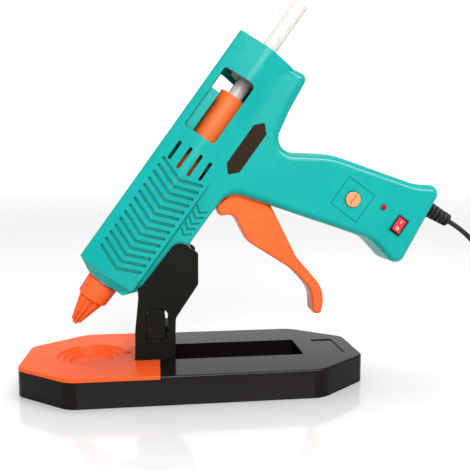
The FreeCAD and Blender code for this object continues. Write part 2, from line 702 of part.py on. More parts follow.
# ---------------------------------------------------------------- heating parts
def make_hot_end():
    tip_u = -34.5
    nozzle = revolve_u([(3.9, 0.9), (3.9, 6.5), (-13.0, 6.5), (-31.0, 2.0), (tip_u, 1.7),
                        (tip_u, 0.9)])
    nozzle = nozzle.fuse(revolve_u([(3.9, 0.9), (3.9, 5.0), (10.0, 5.0), (10.0, 0.9)]))
    add("nozzle", in_gun(nozzle.removeSplitter()))

    ring = revolve_u([(1.3, 6.6), (1.3, 11.6), (2.5, 11.6), (2.5, 10.7), (4.6, 10.7),
                      (4.6, 6.6)])
    add("nozzle_ring", in_gun(ring))

    cover = revolve_u([(1.2, 6.6), (1.2, 11.9), (0.2, 12.2), (-12.6, 10.7), (-13.4, 10.2),
                       (-14.4, 8.4), (-31.5, 3.1), (-33.0, 2.6), (-33.0, 2.1), (-31.0, 2.1),
                       (-13.0, 6.6)])
    ribs = []
    for index in range(8):
        rib = prism([(-12.9, 2.4, 0), (-12.9, 9.9, 0), (-15.0, 9.4, 0), (-32.2, 3.8, 0.3),
                     (-32.2, 2.4, 0)], -0.75, 0.75)
        rib.rotate(vec(0, 0, 0), vec(1, 0, 0), 45 * index + 22.5)
        ribs.append(rib)
    core = revolve_u([(2.5, 0.0), (2.5, 6.6), (-13.0, 6.6), (-31.0, 2.1), (-36.0, 2.1),
                      (-36.0, 0.0)])
    cover = fuse([cover] + ribs).cut(core)
    add("nozzle_cover", in_gun(largest(cover)))

    chamber = along(CHAMBER_R, 5.0, 75.0)
    chamber = chamber.fuse(block(14, 58, -8, 8, -11.5, 0))
    chamber = chamber.cut(along(5.1, 0, 10.5)).cut(along(BORE_R - 0.1, 10.2, 80))
    chamber = chamber.cut(along(9.6, 70.9, 76).cut(along(7.8, 70, 77)))
    add("melt_chamber", in_gun(chamber.removeSplitter()))
    add("ptc_heater", in_gun(block(18, 54, -7, 7, -15.0, -11.6)))
    clip = block(24, 48, -10.6, 10.6, -17.2, 11.0)
    clip = clip.cut(block(20, 52, -9.7, 9.7, -15.1, 9.8))
    clip = clip.cut(block(20, 52, -7, 7, 9, 12))
    add("heater_clip", in_gun(clip))
    add("thermal_fuse", in_gun(block(60, 69, -2.6, 2.6, -14.2, -9.6)))

    sleeve = along(SLEEVE_R, SLEEVE_U[0], SLEEVE_U[1])
    sleeve = sleeve.cut(along(BORE_R, 76, 160)).cut(along(7.9, 60, 76))
    add("inlet_sleeve", in_gun(sleeve))
    clamp = along(11.5, 75, 79).cut(along(SLEEVE_R + 0.05, 70, 80))
    clamp = clamp.fuse(block(75.4, 78.6, -2.4, 2.4, 11.2, 14.6)).removeSplitter()
    add("sleeve_clamp", in_gun(clamp))
    guide_u = BARREL_LENGTH - 6
    guide = along(8.1, guide_u, BARREL_LENGTH + 0.2)
    guide = guide.fuse(along(9.6, guide_u, BARREL_LENGTH - WALL - 0.6))
    guide = guide.cut(along(6.3, 180, 200))
    add("rear_guide", in_gun(guide.removeSplitter()))
    add("glue_stick", in_gun(along(STICK_R, 42, 237)))


# ---------------------------------------------------------------- trigger and feed
def arm_tip():
    """Centre of the trigger's drive pin at rest, in (u, v)."""
    pu, pv = gun_uv(*PIVOT)
    lean = math.radians(TRIGGER_SWING / 2)
    return pu + ARM_LENGTH * math.sin(lean), pv + ARM_LENGTH * math.cos(lean)


def make_trigger():
    px, pz = PIVOT
    blade = prism([
        (15.2, 122.6, 3.0), (18.0, 116.0, 2.5), (27.5, 117.6, 7.0), (37.5, 98.0, 14.0),
        (69.5, 77.8, 30.0), (84.0, 62.0, 20.0), (84.9, 45.4, 2.6), (91.2, 45.4, 2.6),
        (93.8, 62.0, 22.0), (72.6, 86.4, 10.0), (54.0, 123.0, 3.0), (40.0, 132.5, 12.0),
        (27.0, 134.0, 10.0),
    ], -TRIGGER_HALF, TRIGGER_HALF)
    edges = [e for e in blade.Edges if e.BoundBox.YLength < 1e-4]
    try:
        blade = blade.makeFillet(2.2, edges)
    except Exception:
        print("trigger rounding fell back")
        blade = blade.makeChamfer(1.2, edges)
    head = cross_rod(6.0, px, pz, -TRIGGER_HALF, TRIGGER_HALF)
    web = prism([(21.0, 133.0, 0), (26.0, 126.0, 0), (38.0, 128.0, 0), (33.0, 138.0, 0)],
                -TRIGGER_HALF, TRIGGER_HALF)
    tu, tv = arm_tip()
    pu, pv = gun_uv(px, pz)
    run = vec(tu - pu, 0, tv - pv).normalize()
    side = vec(-run.z, 0, run.x)
    foot = vec(pu, 0, pv)
    tip = vec(tu, 0, tv)
    ring = [foot + side * 4.5, foot - side * 4.5, tip - side * 2.6 - run * 1.0,
            tip + side * 2.6 - run * 1.0]
    arm = prism([(p.x, p.z, 0) for p in ring], -2.4, 2.4)
    drive = cross_rod(2.0, tu, tv, -4.2, 4.2)
    drive = drive.fuse(cross_rod(2.6, tu, tv, -2.4, 2.4))
    trigger = fuse([blade, head, web, in_gun(arm.fuse(drive))])
    trigger = trigger.cut(cross_rod(PIN_R + RUNNING, px, pz, -20, 20))
    well = cross_rod(5.4, px, pz, 2.8, 7.2)
    trigger = trigger.cut(well)
    add("trigger", trigger.removeSplitter())
    add("trigger_pin", cross_rod(PIN_R, px, pz, -15.0, 15.0))

    # torsion spring round the pin: close turns, drawn as one grooved ring, and a straight leg
    turns = 4
    coil_start, coil_end = 3.2, 6.8
    pitch = (coil_end - coil_start) / turns
    coil = cross_rod(4.1, px, pz, coil_start, coil_end)
    for index in range(1, turns):
        at = coil_start + index * pitch
        coil = coil.cut(cross_rod(6.0, px, pz, at - 0.1, at + 0.1).cut(
            cross_rod(3.7, px, pz, at - 0.2, at + 0.2)))
    leg = block(px + 3.3, px + 4.9, coil_start, coil_start + 0.8, pz - 0.45, pz + 0.45)
    coil = coil.fuse(leg).cut(cross_rod(3.2, px, pz, 0, 10))
    add("trigger_spring", largest(coil.removeSplitter()))


def make_feed():
    tu = arm_tip()[0]
    rail = block(tu - 7.0, 181, -7.0, 7.0, -18.0, -11.9)
    rail = rail.cut(block(tu - 2.35, tu + 2.35, -4.8, 4.8, -30, -11))
    rail = rail.cut(block(tu - 4.6, tu + 4.6, -3.0, 3.0, -30, -8))
    ring = prism([(169.2, -18.0, 0), (181.0, -18.0, 0), (181.0, 12.0, 2), (169.2, 12.0, 2)],
                 -12.0, 12.0).common(along(12.6, 160, 190).fuse(
                     block(160, 190, -9, 9, -20, 0)))
    carriage = rail.fuse(ring).cut(along(6.3, 160, 190))
    carriage = carriage.cut(block(171.2, 179.2, -3.1, 3.1, -10.3, 0)).removeSplitter()
    add("feed_carriage", in_gun(carriage))
    gripper = block(171.3, 179.1, -3.0, 3.0, -10.2, -6.3)
    teeth = [prism([(171.5 + 1.5 * i, -6.4, 0), (173.0 + 1.5 * i, -6.4, 0),
                    (171.7 + 1.5 * i, -5.95, 0)], -3.0, 3.0) for i in range(5)]
    add("stick_gripper", in_gun(fuse([gripper] + teeth)))


# ---------------------------------------------------------------- grip fittings
def make_fittings():
    dx, dz = DIAL
    face_y = -GRIP_HALF - 1.3
    dial = cross_rod(DIAL_R, dx, dz, face_y, -GRIP_HALF + 2.0)
    rim = [e for e in dial.Edges
           if abs(e.BoundBox.YMin - face_y) < 1e-6 and e.BoundBox.YLength < 1e-4]
    dial = dial.makeFillet(0.5, rim)
    dial = dial.fuse(cross_rod(2.6, dx, dz, -GRIP_HALF + 2.0, -9.0))
    du, dv = gun_uv(dx, dz)
    slot = block(du - 3.6, du + 3.6, -30, face_y + 0.7, dv - 0.45, dv + 0.45)
    dial = dial.cut(in_gun(slot)).removeSplitter()
    add("temperature_dial", dial)

    su, sv = SWITCH_UV
    board = block(du - 10, du + 14, -6.4, -4.8, dv - 24, dv + 13)
    add("control_board", in_gun(board))
    pot = block(du - 5, du + 5, -12.5, -6.45, dv - 5, dv + 5)
    pot = in_gun(pot).cut(cross_rod(2.6 + RUNNING, dx, dz, -20, -8.6))
    add("potentiometer", pot)

    lx, lz = LED
    led = cross_rod(LED_R, lx, lz, -GRIP_HALF - 0.2, -12.0)
    dome = Part.makeSphere(LED_R, vec(lx, -GRIP_HALF - 0.2, lz)).common(
        block(lx - 5, lx + 5, -GRIP_HALF - 1.0, 0, lz - 5, lz + 5))
    led = led.fuse(dome).fuse(cross_rod(2.5, lx, lz, -12.9, -12.0)).removeSplitter()
    legs = [cross_rod(0.25, lx + shift, lz, -12.9, -6.45) for shift in (-0.6, 0.6)]
    add("indicator_led", fuse([led] + legs))

    sl, sw = SWITCH_SIZE
    bezel = block(su - sl / 2, su + sl / 2, -GRIP_HALF - 0.7, -GRIP_HALF - 0.02,
                  sv - sw / 2, sv + sw / 2)
    body = block(su - sl / 2 + 0.5, su + sl / 2 - 0.5, -GRIP_HALF - 0.02, -7.5,
                 sv - sw / 2 + 0.5, sv + sw / 2 - 0.5)
    switch = bezel.fuse(body).removeSplitter()
    well = block(su - 5.6, su + 5.6, -30, -13.5, sv - 3.45, sv + 3.45)
    switch = switch.cut(well)
    add("switch_body", in_gun(switch))
    rocker = prism([(su - 5.2, -GRIP_HALF - 1.0, 0), (su, -GRIP_HALF - 0.3, 0),
                    (su + 5.2, -GRIP_HALF - 1.0, 0), (su + 4.9, -16.2, 0.5),
                    (su - 4.9, -16.2, 0.5)], -3.15, 3.15)
    rocker.rotate(vec(0, 0, 0), vec(1, 0, 0), -90)
    rocker.translate(vec(0, 0, sv))
    rocker.rotate(vec(su, -17.4, sv), vec(0, 0, 1), ROCKER_TILT)
    add("switch_rocker", in_gun(rocker))


def relief_direction():
    angle = math.radians(RELIEF_ANGLE)
    return vec(math.cos(angle), 0, math.sin(angle))


def round_path(points):
    """Straight runs joined by tangent arcs, each arc as large as its two runs allow."""
    edges = []
    radii = []
    last = points[0]
    for index in range(1, len(points) - 1):
        here = points[index]
        back = points[index - 1] - here
        ahead = points[index + 1] - here
        shorter = min(back.Length, ahead.Length)
        back.normalize()
        ahead.normalize()
        half_turn = (math.pi - back.getAngle(ahead)) / 2
        reach = 0.45 * shorter
        radius = reach / math.tan(half_turn)
        radii.append(radius)
        inward = (back + ahead).normalize()
        middle = here + inward * (radius / math.cos(half_turn) - radius)
        edges.append(Part.LineSegment(last, here + back * reach).toShape())
        arc = Part.Arc(here + back * reach, middle, here + ahead * reach)
        edges.append(arc.toShape())
        last = here + ahead * reach
    edges.append(Part.LineSegment(last, points[-1]).toShape())
    return Part.Wire(edges), radii


def tube(points, diameter, name):
    path, radii = round_path(points)
    start = (points[1] - points[0]).normalize()
    ring = Part.Wire([Part.makeCircle(diameter / 2, points[0], start)])
    solid = path.makePipeShell([ring], True, False)
    section = math.pi * diameter ** 2 / 4
    print(name, "radii", [round(r, 1) for r in radii], "length", round(path.Length, 1),
          "volume ratio", round(solid.Volume / (section * path.Length), 4))
    return solid, path.Length


def make_wires():
    """Insulated wires that run inside the grip and barrel."""
    pairs = {"mains_leads": [], "heater_leads": []}
    su, sv = SWITCH_UV
    for side in (-1, 1):
        y = 1.6 * side
        inner = vec(RELIEF_ROOT[0], y, RELIEF_ROOT[1]) - relief_direction() * 7.5
        switch_back = GUN.multVec(vec(su + 3 * side, -7.4, sv))
        points = [inner, inner + vec(-7, 0, 2), vec(switch_back.x + 3, 3, switch_back.z + 3),
                  vec(switch_back.x, -2.4, switch_back.z), switch_back]
        pairs["mains_leads"].append(tube(points, 1.4, "mains lead")[0])
        board_out = vec(104.0, 3.0 + y, 131.0)
        depth = 10.0 + y * 0.5
        points = [board_out, board_out + vec(-14, 4, 8), vec(68, depth, 140),
                  vec(42, depth, 149), GUN.multVec(vec(110, depth, -24)),
                  GUN.multVec(vec(96, depth, -19.6)), GUN.multVec(vec(78, depth - 0.6, -18.4)),
                  GUN.multVec(vec(63, 5.0 + y, -17.4)), GUN.multVec(vec(54.9, 4.5 + y, -13.6))]
        pairs["heater_leads"].append(tube(points, 1.4, "heater lead")[0])
    for name, wires in pairs.items():
        add(name, Part.makeCompound(wires))


# ---------------------------------------------------------------- cord
def cord_route():
    """Chosen points of the free cord, from the strain relief to the coil's outer turn."""
    start = vec(RELIEF_ROOT[0], 0, RELIEF_ROOT[1]) + relief_direction() * RELIEF_LENGTH
    cx, cy = COIL_CENTRE
    return [
        start,
        start + relief_direction() * 18,
        vec(218.5, 1.5, 82.0),
        vec(225.5, 4.0, 54.0),
        vec(229.5, 7.5, 32.0),
        vec(234.0, 10.0, 17.0),
        vec(242.0, 11.4, 6.5),
        vec(253.0, 12.0, 2.2),
        vec(cx, cy + COIL_R - 0.1, CORD_D / 2),
    ]


def make_cord():
    root = vec(RELIEF_ROOT[0], 0, RELIEF_ROOT[1])
    ahead = relief_direction()
    collar = rod(4.4, root - ahead * 5.5, root + ahead * 0.5)
    body = Part.makeCone(5.8, 4.7, RELIEF_LENGTH - 1, root + ahead * 0.5, ahead)
    relief = collar.fuse(body).fuse(rod(3.3, root + ahead * (RELIEF_LENGTH - 0.5),
                                        root + ahead * RELIEF_LENGTH))
    for index in range(5):
        at = root + ahead * (3.6 + 3.6 * index)
        groove = rod(9, at, at + ahead * 1.2).cut(rod(3.6, at - ahead, at + ahead * 3))
        relief = relief.cut(groove)
    add("strain_relief", relief.removeSplitter())

    route = cord_route()
    for point in route:
        print("route", round(point.x, 1), round(point.y, 1), round(point.z, 1))
    lead, lead_length = tube(route, CORD_D, "power cord")
    add("power_cord", lead)

    cx, cy = COIL_CENTRE
    wide, high = COIL_LAYERS
    half_w = wide * CORD_D / 2
    height = high * CORD_D * 0.93
    ring = rod(COIL_R + half_w, vec(cx, cy, 0), vec(cx, cy, height)).cut(
        rod(COIL_R - half_w, vec(cx, cy, -1), vec(cx, cy, height + 1)))
    ring = ring.makeFillet(2.6, [e for e in ring.Edges if e.Curve.TypeId == "Part::GeomCircle"])
    add("cord_coil", ring)

    tail = [vec(cx + COIL_R, cy - 2, CORD_D / 2), vec(cx + COIL_R, cy - 13, CORD_D / 2),
            vec(cx + COIL_R + 0.6, cy - 22, CORD_D / 2 + 1.6),
            vec(cx + COIL_R + 0.6, cy - 31, PLUG_SIZE[2] / 2 - 2.6)]
    plug_lead, tail_length = tube(tail, CORD_D, "plug lead")
    add("plug_lead", plug_lead)
    coil_length = CORD_LENGTH - lead_length - tail_length
    print("coil holds", round(coil_length), "mm,", round(coil_length / (2 * math.pi * COIL_R), 1),
          "turns; solid height", round(height, 1))

    tie_outer = block(cx - 2.2, cx + 2.2, cy - COIL_R - half_w - 1.0, cy - COIL_R + half_w + 1.0,
                      0, height + 1.0)
    tie = tie_outer.cut(ring).cut(block(cx - 3, cx + 3, cy - COIL_R - half_w + 0.02,
                                        cy - COIL_R + half_w - 0.02, -1, 1))
    add("cord_tie", largest(tie))

    px = cx + COIL_R + 0.6
    py = cy - 31
    width, length, height = PLUG_SIZE
    end = vec(px, py, height / 2 - 2.6)
    plug_relief = Part.makeCone(2.6, 4.6, 18, end, vec(0, -1, 0.14))
    body = block(px - width / 2, px + width / 2, py - 17 - length, py - 17, 0, height)
    body = body.makeFillet(3.0, [e for e in body.Edges if e.BoundBox.YLength > length - 0.1])
    body = body.makeChamfer(2.5, [e for e in body.Edges
                                  if e.BoundBox.YLength < 1e-4 and e.BoundBox.YMin > py - 18])
    plug = body.fuse(plug_relief).removeSplitter()
    blades = []
    for side in (-1, 1):
        x = px + 6.35 * side
        blades.append(block(x - 0.75, x + 0.75, py - 17 - length - 16, py - 17 - length + 4,
                            height / 2 - 3.2, height / 2 + 3.2))
    plug = plug.cut(Part.makeCompound(blades))
    add("plug_body", plug)
    add("plug_pins", Part.makeCompound(blades))


for step in (make_base, make_tray, make_underside, make_socket, make_bracket, make_housing,
             make_hot_end, make_trigger, make_feed, make_fittings, make_wires, make_cord):
    step()

os.makedirs("parts", exist_ok=True)
for name, shape in PARTS.items():
    shape.exportStep(os.path.join("parts", name + ".step"))
print(len(PARTS), "nodes")
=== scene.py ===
import json
import math

import bmesh
import bpy
from mathutils import Matrix, Vector


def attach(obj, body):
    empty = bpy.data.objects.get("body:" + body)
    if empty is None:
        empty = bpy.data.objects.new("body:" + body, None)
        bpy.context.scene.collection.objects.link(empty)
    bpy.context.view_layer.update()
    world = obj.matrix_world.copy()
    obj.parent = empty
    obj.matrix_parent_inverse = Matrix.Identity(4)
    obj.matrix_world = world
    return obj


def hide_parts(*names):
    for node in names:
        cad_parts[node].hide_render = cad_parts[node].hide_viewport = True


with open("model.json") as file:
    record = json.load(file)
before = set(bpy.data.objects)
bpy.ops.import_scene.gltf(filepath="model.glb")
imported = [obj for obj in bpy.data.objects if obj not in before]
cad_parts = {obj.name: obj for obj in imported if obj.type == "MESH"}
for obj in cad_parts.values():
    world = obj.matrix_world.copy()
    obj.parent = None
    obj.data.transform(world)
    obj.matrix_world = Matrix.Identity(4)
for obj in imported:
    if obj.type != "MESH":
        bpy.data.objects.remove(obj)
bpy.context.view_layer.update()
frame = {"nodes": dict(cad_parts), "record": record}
NODES = frame["nodes"]
MM = 0.001

# ---------------------------------------------------------------- frame values, in metres
# The gun is drawn along u (nozzle to rear), y (across) and v (up), then turned by TILT.
NOSE = Vector((-0.0628, 0.0, 0.0704))
TILT = math.radians(54.13)
GUN = Matrix.Translation(NOSE) @ Matrix.Rotation(-TILT, 4, "Y")
GRIP_HALF = 18.5            # mm
SWITCH_UV = (152.0, -144.3)  # mm
ROCKER_TILT = math.radians(8.0)
ROCKER_Y = -17.4            # mm, the rocker's axis
ROCKER_HALF = 4.9           # mm, along its two faces
ROCKER_DIP = 0.7            # mm, from each face's end to its middle
CORD_D = 3.6 * MM
RELIEF_ROOT = Vector((0.1703, 0.0, 0.1209))
RELIEF_ANGLE = math.radians(-29.5)
RELIEF_LENGTH = 22.0 * MM
COIL_CENTRE = Vector((0.262, -0.008, 0.0))
COIL_R = 18.7 * MM          # middle of the turns

# ---------------------------------------------------------------- camera and light
CAMERA_PLACE = (-0.024, -0.413, 0.145)
CAMERA_TURN = (84.1, 0.0, -7.4)     # degrees
CAMERA_LENS = 45.2
SENSOR_WIDTH = 36.0
WORLD_STRENGTH = 1.1
WALL_FRONT = (0.38, 0.385, 0.39)
WALL_BACK = (1.0, 1.0, 1.0)
CEILING = (0.50, 0.50, 0.50)
FLOOR_HALF = 4.0
# name, place, target, size and power; the strip only draws the long highlights
LIGHTS = (
    ("key", (0.05, -1.1, 0.62), (0.0, 0.0, 0.12), (0.8, 0.5), 14.0),
    ("strip", (0.42, -0.60, 0.72), (0.42, 0.0, 0.15), (1.1, 0.11), 26.0),
    ("top", (0.15, 0.25, 1.1), (0.0, 0.0, 0.05), (0.9, 0.7), 7.0),
)
GLOSSY_ONLY = ("strip",)


# ---------------------------------------------------------------- materials
def node(tree, kind, **inputs):
    made = tree.nodes.new(kind)
    for key, value in inputs.items():
        made.inputs[key.replace("_", " ")].default_value = value
    return made


def noise(tree, coords, scale, detail=2.0):
    made = node(tree, "ShaderNodeTexNoise", Scale=scale, Detail=detail)
    tree.links.new(coords, made.inputs["Vector"])
    return made.outputs["Fac"]


def remap(tree, value, low, high, start=0.3, stop=0.7):
    made = tree.nodes.new("ShaderNodeMapRange")
    made.inputs["From Min"].default_value = start
    made.inputs["From Max"].default_value = stop
    made.inputs["To Min"].default_value = low
    made.inputs["To Max"].default_value = high
    tree.links.new(value, made.inputs["Value"])
    return made.outputs["Result"]


def mixed(tree, share, first, second):
    made = tree.nodes.new("ShaderNodeMix")
    made.data_type = "RGBA"
    if isinstance(share, float):
        made.inputs[0].default_value = share
    else:
        tree.links.new(share, made.inputs[0])
    for socket, colour in ((made.inputs[6], first), (made.inputs[7], second)):
        if isinstance(colour, tuple):
            socket.default_value = (*colour, 1.0)
        else:
            tree.links.new(colour, socket)
    return made.outputs[2]


def shade(colour, factor):
    return tuple(min(1.0, c * factor) for c in colour)


def plastic(name, colour, rough=0.35, ior=1.4, grain=0.05, grain_scale=2600.0, tone=0.07,
            edge=0.35, dark=None, metallic=0.0, spots=None, level=0.5, crevice_shade=None):
    """Moulded surface: slow tone drift, patchy gloss, fine texture, softened edges, and painted
    shade that darkens the colour in crevices.
    """
    made = bpy.data.materials.new(name)
    made.use_nodes = True
    tree = made.node_tree
    shader = tree.nodes["Principled BSDF"]
    coords = tree.nodes.new("ShaderNodeTexCoord").outputs["Object"]
    drift = remap(tree, noise(tree, coords, 22.0, 3.0), 0.0, 1.0)
    low = dark or shade(colour, 1.0 - tone)
    high = shade(colour, 1.0 + tone)
    tint = mixed(tree, drift, low, high)
    if spots:
        speck = remap(tree, noise(tree, coords, spots[1], 1.0), 0.0, 1.0, 0.62, 0.70)
        tint = mixed(tree, speck, tint, spots[0])
    # painted shade: an ambient-occlusion mask darkens the base colour in crevices and hollows,
    # down to shade(colour, depth) where they are most closed in
    if crevice_shade:
        reach, depth = crevice_shade
        crevice_shade_ao = node(tree, "ShaderNodeAmbientOcclusion", Distance=reach * MM)
        crevice_shade_ao.samples = 8
        unshaded_share = remap(tree, crevice_shade_ao.outputs["AO"], 0.0, 1.0, 0.35, 0.95)
        tint = mixed(tree, unshaded_share, shade(colour, depth), tint)
    tree.links.new(tint, shader.inputs["Base Color"])
    gloss = remap(tree, noise(tree, coords, 140.0, 4.0), rough * 0.85, min(1.0, rough * 1.2))
    tree.links.new(gloss, shader.inputs["Roughness"])
    shader.inputs["IOR"].default_value = ior
    shader.inputs["Metallic"].default_value = metallic
    shader.inputs["Specular IOR Level"].default_value = level
    bump = node(tree, "ShaderNodeBump", Strength=grain, Distance=0.0002)
    tree.links.new(noise(tree, coords, grain_scale, 2.0), bump.inputs["Height"])
    if edge > 0:
        soft = tree.nodes.new("ShaderNodeBevel")
        soft.samples = 4
        soft.inputs["Radius"].default_value = edge * MM
        tree.links.new(soft.outputs["Normal"], bump.inputs["Normal"])
    tree.links.new(bump.outputs["Normal"], shader.inputs["Normal"])
    return made


def brushed(name, colour, rough=0.3, along=(1.0, 30.0, 30.0)):
    """Metal with fine marks along one direction."""
    made = plastic(name, colour, rough=rough, metallic=1.0, grain=0.02, tone=0.1, edge=0.15)
    tree = made.node_tree
    shader = tree.nodes["Principled BSDF"]
    coords = tree.nodes.new("ShaderNodeTexCoord").outputs["Object"]
    stretch = tree.nodes.new("ShaderNodeMapping")
    stretch.inputs["Scale"].default_value = along
    tree.links.new(coords, stretch.inputs["Vector"])
    marks = noise(tree, stretch.outputs["Vector"], 60.0, 5.0)
    tree.links.new(remap(tree, marks, rough * 0.6, rough * 1.5), shader.inputs["Roughness"])
    return made


def translucent(name, colour, scatter, transmission, rough):
    """Cloudy wax-like body that light soaks into."""
    made = plastic(name, colour, rough=rough, grain=0.12, grain_scale=420.0, tone=0.03, edge=0.2)
    shader = made.node_tree.nodes["Principled BSDF"]
    shader.inputs["Transmission Weight"].default_value = transmission
    shader.inputs["Subsurface Weight"].default_value = scatter
    shader.inputs["Subsurface Radius"].default_value = (1.0, 0.75, 0.65)
    shader.inputs["Subsurface Scale"].default_value = 4 * MM
    return made


def make_materials():
    black = (0.0062, 0.0046, 0.0036)
    # crevice_shade=(reach in mm, colour factor) paints shade into the crevices of the tray,
    # housing, nozzle cover, dial and heat sleeve
    return {
        "stand_black": plastic("stand gloss", black, rough=0.15, ior=1.33, grain=0.012, edge=0.3,
                               level=0.2),
        "tray_orange": plastic("tray orange", (0.80, 0.098, 0.017), rough=0.28, ior=1.3,
                               grain=0.02, dark=(0.77, 0.088, 0.014), edge=0.3, level=0.1,
                               crevice_shade=(4.0, 0.7)),
        "bracket_black": plastic("bracket satin", (0.0075, 0.0066, 0.0048), rough=0.38,
                                 ior=1.3, grain=0.08, edge=0.35, level=0.15),
        "rubber_black": plastic("rubber", (0.016, 0.016, 0.016), rough=0.8, grain=0.3),
        "steel": brushed("zinc plated steel", (0.55, 0.56, 0.57), 0.28),
        "housing_teal": plastic("housing teal", (0.0030, 0.330, 0.296), rough=0.28, ior=1.35,
                                grain=0.03, grain_scale=3200.0, dark=(0.0022, 0.310, 0.279),
                                edge=0.45, crevice_shade=(2.4, 0.34), level=0.25),
        "plate_brown": plastic("plate brown", (0.026, 0.0125, 0.0062), rough=0.5, ior=1.3,
                               grain=0.12, edge=0.2, level=0.1),
        "brass": brushed("brass", (0.72, 0.47, 0.17), 0.25),
        "silicone_orange": plastic("silicone orange", (0.86, 0.118, 0.024), rough=0.46, ior=1.33,
                                   grain=0.08, dark=(0.81, 0.098, 0.018), edge=0.3,
                                   crevice_shade=(2.2, 0.30), level=0.3),
        "aluminium": plastic("cast aluminium", (0.62, 0.62, 0.63), rough=0.42, metallic=1.0,
                             grain=0.35, grain_scale=900.0),
        "ceramic": plastic("ceramic", (0.72, 0.69, 0.62), rough=0.6, grain=0.2,
                           grain_scale=1200.0),
        "trigger_orange": plastic("trigger orange", (0.85, 0.128, 0.027), rough=0.26, ior=1.35,
                                  grain=0.03, dark=(0.80, 0.112, 0.022), edge=0.3, level=0.3),
        "feed_grey": plastic("grey nylon", (0.20, 0.22, 0.23), rough=0.5, grain=0.1),
        "glue": translucent("hot melt glue", (0.74, 0.69, 0.65), 0.5, 0.12, 0.24),
        "dial_peach": plastic("dial peach", (0.80, 0.27, 0.10), rough=0.4, grain=0.06,
                              edge=0.15, crevice_shade=(1.0, 0.35)),
        "led_red": translucent("red lens", (0.55, 0.003, 0.008), 0.2, 0.35, 0.12),
        "board_green": plastic("circuit board", (0.02, 0.13, 0.045), rough=0.35, grain=0.15,
                               grain_scale=700.0, spots=((0.55, 0.45, 0.22), 900.0)),
        "component_blue": plastic("component blue", (0.03, 0.08, 0.26), rough=0.4, grain=0.05),
        "switch_black": plastic("switch black", (0.008, 0.008, 0.010), rough=0.28, grain=0.03,
                                edge=0.15),
        "rocker_red": plastic("rocker red", (0.66, 0.035, 0.055), rough=0.24, grain=0.02,
                              edge=0.15),
        "wire_blue": plastic("wire blue", (0.03, 0.07, 0.4), rough=0.45, grain=0.05),
        "wire_white": plastic("sleeved wire", (0.74, 0.74, 0.71), rough=0.7, grain=0.4,
                              grain_scale=1500.0),
        "cord_black": plastic("cord black", (0.0100, 0.0078, 0.0070), rough=0.46, grain=0.12,
                              grain_scale=1500.0, edge=0.2, level=0.3),
        "mark_white": plastic("printed mark", (0.80, 0.74, 0.74), rough=0.5, grain=0.05, edge=0),
        "sleeve_orange": plastic("heat sleeve", (0.86, 0.165, 0.034), rough=0.42, ior=1.33,
                                 grain=0.06, dark=(0.82, 0.148, 0.029), edge=0.3, level=0.3,
                                 crevice_shade=(9.0, 0.10)),
    }


MATERIALS = make_materials()
SLOT_OF = {row["node"]: row["material_slot"] for row in frame["record"]["subparts"]}


def dress_nodes():
    for name, part in NODES.items():
        part.data.materials.clear()
        part.data.materials.append(MATERIALS[SLOT_OF[name]])


# ---------------------------------------------------------------- mesh helpers
WELD = 1e-6                 # metres
BEVEL_FROM = math.radians(28.0)


def new_piece(name, mesh_or_bm, slot, body, replaces=()):
    if isinstance(mesh_or_bm, bmesh.types.BMesh):
        mesh = bpy.data.meshes.new(name)
        mesh_or_bm.to_mesh(mesh)
        mesh_or_bm.free()
    else:
        mesh = mesh_or_bm
    piece = bpy.data.objects.new(name, mesh)
    bpy.context.scene.collection.objects.link(piece)
    piece.data.materials.clear()
    piece.data.materials.append(MATERIALS[slot])
    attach(piece, body)
    if replaces:
        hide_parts(*replaces)
    return piece


def smooth(mesh, degrees=32.0):
    """Smooth shading, kept sharp along edges steeper than the angle."""
    bm = bmesh.new()
    bm.from_mesh(mesh)
    limit = math.radians(degrees)
    for face in bm.faces:
        face.smooth = True
    for edge in bm.edges:
        edge.smooth = len(edge.link_faces) == 2 and edge.calc_face_angle(0.0) < limit
    bm.to_mesh(mesh)
    bm.free()


def refined(name, cad_name, body, bevel=0.0, degrees=32.0, segments=2):
    """The CAD node's own shape with welded faces, rounded edges and smooth shading."""
    bm = bmesh.new()
    bm.from_mesh(NODES[cad_name].data)
    bmesh.ops.remove_doubles(bm, verts=bm.verts, dist=2 * WELD)
    bmesh.ops.dissolve_limit(bm, angle_limit=math.radians(0.3), verts=bm.verts, edges=bm.edges)
    if bevel > 0:
        sharp = [e for e in bm.edges
                 if len(e.link_faces) == 2 and e.calc_face_angle(0.0) > BEVEL_FROM]
        bmesh.ops.bevel(bm, geom=sharp, offset=bevel * MM, offset_type="OFFSET",
                        segments=segments, profile=0.5, affect="EDGES", clamp_overlap=True)
    mesh = bpy.data.meshes.new(name)
    bm.to_mesh(mesh)
    bm.free()
    piece = new_piece(name, mesh, SLOT_OF[cad_name], body, (cad_name,))
    smooth(mesh, degrees)
    flat = piece.modifiers.new("flat faces stay flat", "WEIGHTED_NORMAL")
    flat.keep_sharp = True
    flat.weight = 100
    return piece


def join_loops(bm, loops):
    """Faces between each closed loop and the next, and from the last back to the first."""
    for index, here in enumerate(loops):
        there = loops[(index + 1) % len(loops)]
        for step in range(len(here)):
            after = (step + 1) % len(here)
            bm.faces.new((here[step], here[after], there[after], there[step]))


def lathe(profile, steps, place, wobble=None):
    """Closed surface turned about the x axis from (x, r) pairs in mm, put in place."""
    bm = bmesh.new()
    rings = []
    for x, r in profile:
        ring = []
        for step in range(steps):
            angle = 2 * math.pi * step / steps
            radius = r + (wobble(x, r, angle) if wobble else 0.0)
            point = Vector((x, radius * math.cos(angle), radius * math.sin(angle))) * MM
            ring.append(bm.verts.new(place @ point))
        rings.append(ring)
    join_loops(bm, rings)
    bmesh.ops.remove_doubles(bm, verts=bm.verts, dist=WELD)
    bmesh.ops.recalc_face_normals(bm, faces=bm.faces)
    return bm


